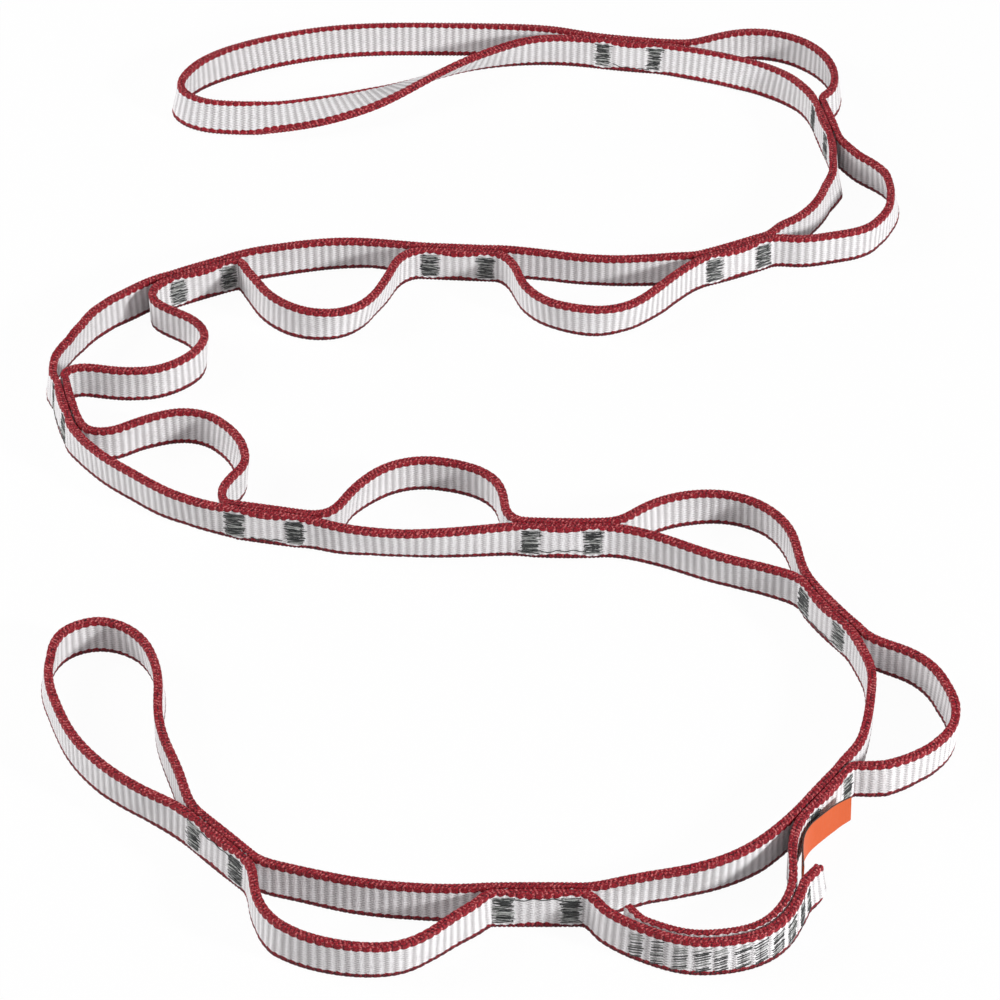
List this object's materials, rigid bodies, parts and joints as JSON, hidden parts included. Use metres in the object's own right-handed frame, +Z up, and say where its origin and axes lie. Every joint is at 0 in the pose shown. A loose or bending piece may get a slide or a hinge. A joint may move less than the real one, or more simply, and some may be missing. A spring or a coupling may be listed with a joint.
{
  "type": "climbing daisy chain",
  "caption": "Flat woven climbing daisy chain: tape bar-tacked to itself into a row of clip-in pockets, with a larger loop at each end, laid on edge in an S.",
  "frame": {"origin": "the middle of the chain's plan as laid out, on the ground under its lower selvedge", "axes": "+Z up off the ground and along the tape's width, +X along the straighter runs of the S, +Y from the small end loop towards the large end loop, along the longest extent"},
  "size_m": [0.2876, 0.4985, 0.0121],
  "materials": {
    "webbing": "woven white tape with a ribbed face and red selvedges",
    "thread": "grey sewing thread, laid in dense zigzags",
    "label": "flat orange woven ribbon"
  },
  "bodies": {
    "large_end": {"large_end_loop": "webbing", "bar_tack_01a": "thread"},
    "pocket_01": {"pocket_01_rail": "webbing", "pocket_01_loop": "webbing", "bar_tack_01b": "thread", "bar_tack_02a": "thread"},
    "pocket_02": {"pocket_02_rail": "webbing", "pocket_02_loop": "webbing", "bar_tack_02b": "thread", "bar_tack_03a": "thread"},
    "pocket_03": {"pocket_03_rail": "webbing", "pocket_03_loop": "webbing", "bar_tack_03b": "thread", "bar_tack_04a": "thread"},
    "pocket_04": {"pocket_04_rail": "webbing", "pocket_04_loop": "webbing", "bar_tack_04b": "thread", "bar_tack_05a": "thread"},
    "pocket_05": {"pocket_05_rail": "webbing", "pocket_05_loop": "webbing", "bar_tack_05b": "thread", "bar_tack_06a": "thread"},
    "pocket_06": {"pocket_06_rail": "webbing", "pocket_06_loop": "webbing", "bar_tack_06b": "thread", "bar_tack_07a": "thread"},
    "pocket_07": {"pocket_07_rail": "webbing", "pocket_07_loop": "webbing", "bar_tack_07b": "thread", "bar_tack_08a": "thread"},
    "pocket_08": {"pocket_08_rail": "webbing", "pocket_08_loop": "webbing", "bar_tack_08b": "thread", "bar_tack_09a": "thread"},
    "pocket_09": {"pocket_09_rail": "webbing", "pocket_09_loop": "webbing", "bar_tack_09b": "thread", "bar_tack_10a": "thread"},
    "pocket_10": {"pocket_10_rail": "webbing", "pocket_10_inner_ply": "webbing", "pocket_10_outer_ply": "webbing", "bar_tack_10b": "thread", "bar_tack_11a": "thread", "splice_tack_01": "thread", "splice_tack_02": "thread", "splice_tack_03": "thread", "splice_tack_04": "thread", "splice_tack_05": "thread", "splice_tack_06": "thread", "splice_tack_07": "thread", "splice_tack_08": "thread", "splice_tack_09": "thread", "splice_tack_10": "thread"},
    "pocket_11": {"pocket_11_rail": "webbing", "pocket_11_loop": "webbing", "bar_tack_11b": "thread", "bar_tack_12a": "thread"},
    "small_end": {"small_end_loop": "webbing", "bar_tack_12b": "thread"},
    "label": {"side_label": "label"}
  },
  "joints": [
    {"name": "joint_01", "type": "hinge", "parent": "pocket_01", "child": "large_end", "pos_m": [0.05314, 0.23625, 0.006], "axis": [0, 0, -1], "range_deg": [-5, 45]},
    {"name": "joint_02", "type": "hinge", "parent": "pocket_02", "child": "pocket_01", "pos_m": [0.12274, 0.18393, 0.006], "axis": [0, 0, -1], "range_deg": [-5, 45]},
    {"name": "joint_03", "type": "hinge", "parent": "pocket_03", "child": "pocket_02", "pos_m": [0.08664, 0.10137, 0.006], "axis": [0, 0, -1], "range_deg": [-5, 45]},
    {"name": "joint_04", "type": "hinge", "parent": "pocket_04", "child": "pocket_03", "pos_m": [-0.00916, 0.10012, 0.006], "axis": [0, 0, -1], "range_deg": [-5, 45]},
    {"name": "joint_05", "type": "hinge", "parent": "pocket_05", "child": "pocket_04", "pos_m": [-0.09748, 0.08879, 0.006], "axis": [0, 0, 1], "range_deg": [-5, 45]},
    {"name": "joint_06", "type": "hinge", "parent": "pocket_06", "child": "pocket_05", "pos_m": [-0.138, 0.01362, 0.006], "axis": [0, 0, 1], "range_deg": [-5, 45]},
    {"name": "joint_07", "type": "hinge", "parent": "pocket_06", "child": "pocket_07", "pos_m": [-0.06897, -0.04753, 0.006], "axis": [0, 0, -1], "range_deg": [-5, 45]},
    {"name": "joint_08", "type": "hinge", "parent": "pocket_07", "child": "pocket_08", "pos_m": [0.02482, -0.05502, 0.006], "axis": [0, 0, 1], "range_deg": [-5, 45]},
    {"name": "joint_09", "type": "hinge", "parent": "pocket_08", "child": "pocket_09", "pos_m": [0.10613, -0.09466, 0.006], "axis": [0, 0, 1], "range_deg": [-3, 40]},
    {"name": "joint_10", "type": "hinge", "parent": "pocket_09", "child": "pocket_10", "pos_m": [0.10028, -0.18077, 0.006], "axis": [0, 0, 1], "range_deg": [-3, 24]},
    {"name": "joint_11", "type": "hinge", "parent": "pocket_10", "child": "pocket_11", "pos_m": [0.0158, -0.22513, 0.006], "axis": [0, 0, 1], "range_deg": [-4, 40]},
    {"name": "joint_12", "type": "hinge", "parent": "pocket_11", "child": "small_end", "pos_m": [-0.0756, -0.2017, 0.006], "axis": [0, 0, 1], "range_deg": [-5, 45]},
    {"name": "label_flap", "type": "hinge", "parent": "pocket_10", "child": "label", "pos_m": [0.0925, -0.21246, 0.006], "axis": [0, 0, -1], "range_deg": [-1, 15]}
  ]
}
